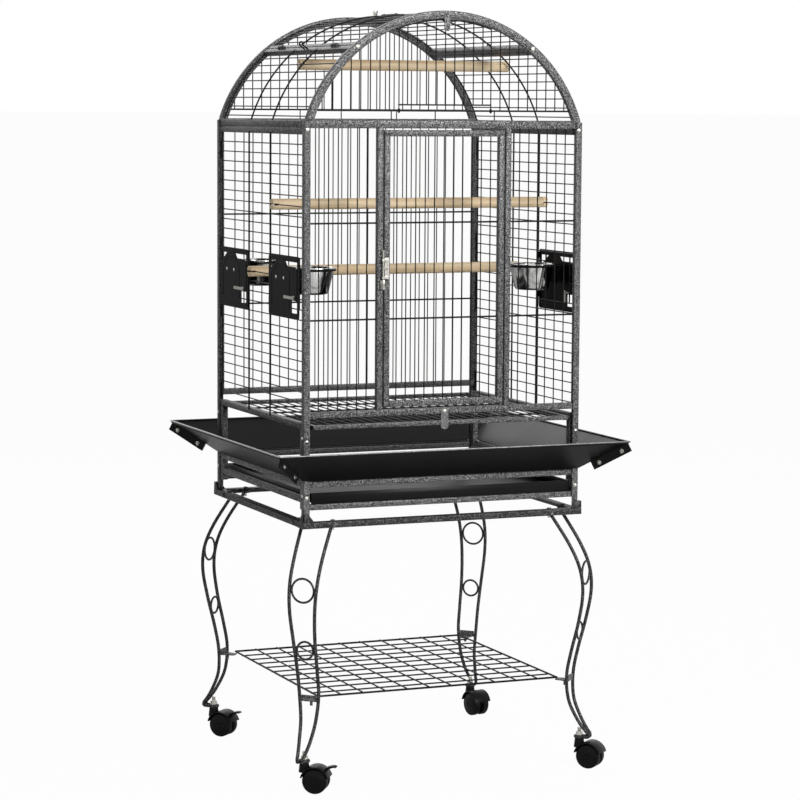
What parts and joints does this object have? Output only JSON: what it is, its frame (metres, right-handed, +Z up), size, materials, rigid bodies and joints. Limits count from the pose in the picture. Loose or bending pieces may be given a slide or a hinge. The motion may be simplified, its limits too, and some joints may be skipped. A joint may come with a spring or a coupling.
{
  "type": "bird cage on stand",
  "caption": "Dome-top wire bird cage with front door, feeder doors, roof flaps, pull-out tray and seed guard, on a rolling stand with curved wire legs and a lower shelf.",
  "frame": {"origin": "on the floor, under the middle of the cage", "axes": "+Z up; the front door faces -Y; +X is to the right seen from the front"},
  "size_m": [0.7562, 0.676, 1.5325],
  "materials": {
    "hammertone_coat": "speckled hammertone powder coat, charcoal on black",
    "dark_wire": "satin dark grey powder coat on wire",
    "black_sheet": "smooth satin black powder coat",
    "stainless": "polished stainless steel",
    "bright_nickel": "bright nickel or zinc plate",
    "pine": "raw pine dowel",
    "black_plastic": "moulded black plastic",
    "wheel_nylon": "black nylon wheel"
  },
  "bodies": {
    "cage": {"post_front_left": "hammertone_coat", "post_front_right": "hammertone_coat", "post_back_left": "hammertone_coat", "post_back_right": "hammertone_coat", "front_panel": "hammertone_coat", "back_panel": "hammertone_coat", "left_panel": "hammertone_coat", "right_panel": "hammertone_coat", "base_frame": "hammertone_coat", "seed_guard_front": "black_sheet", "seed_guard_right": "black_sheet", "seed_guard_back": "black_sheet", "seed_guard_left": "black_sheet", "stand_top_frame": "hammertone_coat", "leg_front_left": "hammertone_coat", "leg_front_right": "hammertone_coat", "leg_back_left": "hammertone_coat", "leg_back_right": "hammertone_coat", "shelf_clamp_front_left": "hammertone_coat", "shelf_clamp_front_right": "hammertone_coat", "shelf_clamp_back_left": "hammertone_coat", "shelf_clamp_back_right": "hammertone_coat", "shelf_grid": "dark_wire", "perch_upper": "pine", "perch_lower": "pine", "perch_dome": "pine", "dome_front": "hammertone_coat", "dome_back": "hammertone_coat", "dome_side_left": "hammertone_coat", "dome_side_right": "hammertone_coat"},
    "door": {"front_door": "hammertone_coat", "door_latch_plate": "bright_nickel"},
    "door_bolt": {"door_latch_bolt": "bright_nickel"},
    "tab_door": {"door_tab": "hammertone_coat"},
    "tab_apex": {"apex_tab": "hammertone_coat"},
    "feeder_front_left": {"feeder_door_front_left": "black_sheet"},
    "latch_front_left": {"feeder_latch_front_left": "bright_nickel"},
    "bowl_front_left": {"feeder_bowl_front_left": "stainless"},
    "feeder_back_left": {"feeder_door_back_left": "black_sheet"},
    "latch_back_left": {"feeder_latch_back_left": "bright_nickel"},
    "bowl_back_left": {"feeder_bowl_back_left": "stainless"},
    "feeder_front_right": {"feeder_door_front_right": "black_sheet"},
    "latch_front_right": {"feeder_latch_front_right": "bright_nickel"},
    "bowl_front_right": {"feeder_bowl_front_right": "stainless"},
    "flap_left": {"roof_flap_left": "hammertone_coat"},
    "flap_right": {"roof_flap_right": "hammertone_coat"},
    "wing_nut": {"ridge_wing_nut": "bright_nickel"},
    "hatch": {"dome_hatch": "dark_wire"},
    "tray": {"tray": "black_sheet"},
    "grate": {"floor_grate": "dark_wire"},
    "caster_front_left": {"caster_hood_front_left": "black_plastic"},
    "wheel_front_left": {"caster_wheel_front_left": "wheel_nylon"},
    "brake_front_left": {"caster_brake_front_left": "black_plastic"},
    "caster_front_right": {"caster_hood_front_right": "black_plastic"},
    "wheel_front_right": {"caster_wheel_front_right": "wheel_nylon"},
    "caster_back_left": {"caster_hood_back_left": "black_plastic"},
    "wheel_back_left": {"caster_wheel_back_left": "wheel_nylon"},
    "brake_back_left": {"caster_brake_back_left": "black_plastic"},
    "caster_back_right": {"caster_hood_back_right": "black_plastic"},
    "wheel_back_right": {"caster_wheel_back_right": "wheel_nylon"}
  },
  "joints": [
    {"name": "door_hinge", "type": "hinge", "parent": "cage", "child": "door", "pos_m": [0.125, -0.2512, 1], "axis": [0, 0, 1], "range_deg": [0, 100]},
    {"name": "door_bolt_slide", "type": "slide", "parent": "door", "child": "door_bolt", "axis": [0, 0, -1], "range_m": [0, 0.0135]},
    {"name": "door_tab_turn", "type": "hinge", "parent": "cage", "child": "tab_door", "pos_m": [0.002, -0.2547, 0.739], "axis": [0, 1, 0], "range_deg": [-90, 90]},
    {"name": "apex_tab_turn", "type": "hinge", "parent": "cage", "child": "tab_apex", "pos_m": [0, -0.257, 1.5143], "axis": [0, 1, 0], "range_deg": [-90, 90]},
    {"name": "feeder_front_left_hinge", "type": "hinge", "parent": "cage", "child": "feeder_front_left", "pos_m": [-0.2949, -0.0625, 0.984], "axis": [0, 0, -1], "range_deg": [0, 100]},
    {"name": "feeder_front_left_latch_turn", "type": "hinge", "parent": "feeder_front_left", "child": "latch_front_left", "pos_m": [-0.3001, -0.206, 0.964], "axis": [-1, 0, 0], "range_deg": [0, 90]},
    {"name": "bowl_front_left_lift", "type": "slide", "parent": "feeder_front_left", "child": "bowl_front_left", "axis": [0, 0, 1], "range_m": [0, 0.055]},
    {"name": "feeder_back_left_hinge", "type": "hinge", "parent": "cage", "child": "feeder_back_left", "pos_m": [-0.2949, 0.2315, 0.984], "axis": [0, 0, -1], "range_deg": [0, 100]},
    {"name": "feeder_back_left_latch_turn", "type": "hinge", "parent": "feeder_back_left", "child": "latch_back_left", "pos_m": [-0.3001, 0.088, 0.964], "axis": [-1, 0, 0], "range_deg": [0, 90]},
    {"name": "bowl_back_left_lift", "type": "slide", "parent": "feeder_back_left", "child": "bowl_back_left", "axis": [0, 0, 1], "range_m": [0, 0.055]},
    {"name": "feeder_front_right_hinge", "type": "hinge", "parent": "cage", "child": "feeder_front_right", "pos_m": [0.2949, -0.0625, 0.984], "axis": [0, 0, 1], "range_deg": [0, 100]},
    {"name": "feeder_front_right_latch_turn", "type": "hinge", "parent": "feeder_front_right", "child": "latch_front_right", "pos_m": [0.3001, -0.206, 0.964], "axis": [-1, 0, 0], "range_deg": [0, 90]},
    {"name": "bowl_front_right_lift", "type": "slide", "parent": "feeder_front_right", "child": "bowl_front_right", "axis": [0, 0, 1], "range_m": [0, 0.055]},
    {"name": "roof_flap_left_hinge", "type": "hinge", "parent": "cage", "child": "flap_left", "pos_m": [-0.19299, 0, 1.45646], "axis": [0, -1, 0], "range_deg": [0, 95]},
    {"name": "roof_flap_right_hinge", "type": "hinge", "parent": "cage", "child": "flap_right", "pos_m": [0.19299, 0, 1.45646], "axis": [0, 1, 0], "range_deg": [0, 95]},
    {"name": "wing_nut_turn", "type": "hinge", "parent": "flap_left", "child": "wing_nut", "pos_m": [-0.00575, 0.1, 1.5205], "axis": [0, 0, 1], "continuous": true},
    {"name": "dome_hatch_hinge", "type": "hinge", "parent": "cage", "child": "hatch", "pos_m": [0, -0.25075, 1.328], "axis": [1, 0, 0], "range_deg": [0, 150]},
    {"name": "tray_slide", "type": "slide", "parent": "cage", "child": "tray", "axis": [0, -1, 0], "range_m": [0, 0.42]},
    {"name": "grate_slide", "type": "slide", "parent": "cage", "child": "grate", "axis": [0, -1, 0], "range_m": [0, 0.42]},
    {"name": "caster_front_left_swivel", "type": "hinge", "parent": "cage", "child": "caster_front_left", "pos_m": [-0.29954, -0.27254, 0.05], "axis": [0, 0, 1], "continuous": true},
    {"name": "wheel_front_left_spin", "type": "hinge", "parent": "caster_front_left", "child": "wheel_front_left", "pos_m": [-0.27988, -0.2863, 0.025], "axis": [0.5736, 0.8191, 0], "continuous": true},
    {"name": "brake_front_left_press", "type": "hinge", "parent": "caster_front_left", "child": "brake_front_left", "pos_m": [-0.2611, -0.29945, 0.04874], "axis": [0.5736, 0.8191, 0], "range_deg": [0, 20]},
    {"name": "caster_front_right_swivel", "type": "hinge", "parent": "cage", "child": "caster_front_right", "pos_m": [0.29954, -0.27254, 0.05], "axis": [0, 0, 1], "continuous": true},
    {"name": "wheel_front_right_spin", "type": "hinge", "parent": "caster_front_right", "child": "wheel_front_right", "pos_m": [0.31528, -0.29065, 0.025], "axis": [0.7547, 0.6561, 0], "continuous": true},
    {"name": "caster_back_left_swivel", "type": "hinge", "parent": "cage", "child": "caster_back_left", "pos_m": [-0.29954, 0.27254, 0.05], "axis": [0, 0, 1], "continuous": true},
    {"name": "wheel_back_left_spin", "type": "hinge", "parent": "caster_back_left", "child": "wheel_back_left", "pos_m": [-0.28411, 0.25415, 0.025], "axis": [0.766, 0.6428, 0], "continuous": true},
    {"name": "brake_back_left_press", "type": "hinge", "parent": "caster_back_left", "child": "brake_back_left", "pos_m": [-0.26937, 0.23659, 0.04874], "axis": [0.766, 0.6428, 0], "range_deg": [0, 20]},
    {"name": "caster_back_right_swivel", "type": "hinge", "parent": "cage", "child": "caster_back_right", "pos_m": [0.29954, 0.27254, 0.05], "axis": [0, 0, 1], "continuous": true},
    {"name": "wheel_back_right_spin", "type": "hinge", "parent": "caster_back_right", "child": "wheel_back_right", "pos_m": [0.3037, 0.2489, 0.025], "axis": [0.9848, 0.1736, 0], "continuous": true}
  ]
}
